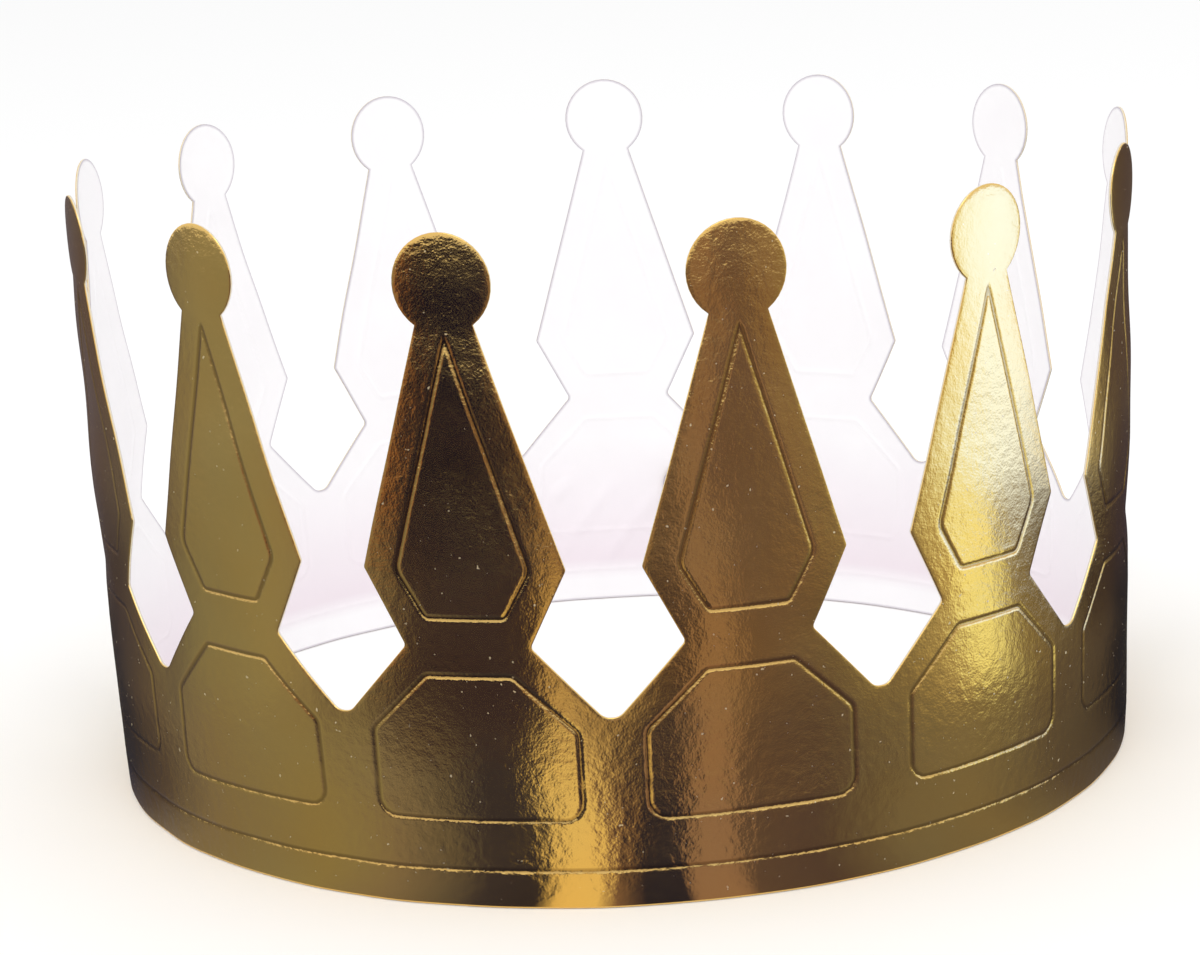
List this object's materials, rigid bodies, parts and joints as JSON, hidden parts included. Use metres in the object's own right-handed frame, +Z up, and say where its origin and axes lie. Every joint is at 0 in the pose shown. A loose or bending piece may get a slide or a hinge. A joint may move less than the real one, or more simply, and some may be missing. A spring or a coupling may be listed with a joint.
{
  "type": "paper crown",
  "caption": "Ring-shaped party crown cut from one strip of gold foil card, with tall pressed points that end in flat round balls.",
  "frame": {"origin": "on the ring's axis, level with the hem that the crown stands on", "axes": "+Z up along the ring's axis, -Y towards the front point, +Y towards the join at the back"},
  "size_m": [0.1968, 0.1959, 0.1139],
  "materials": {
    "gold_card": "satin",
    "white_paper": "matte"
  },
  "bodies": {
    "root": {"crown_strip": "gold_card"}
  },
  "joints": []
}
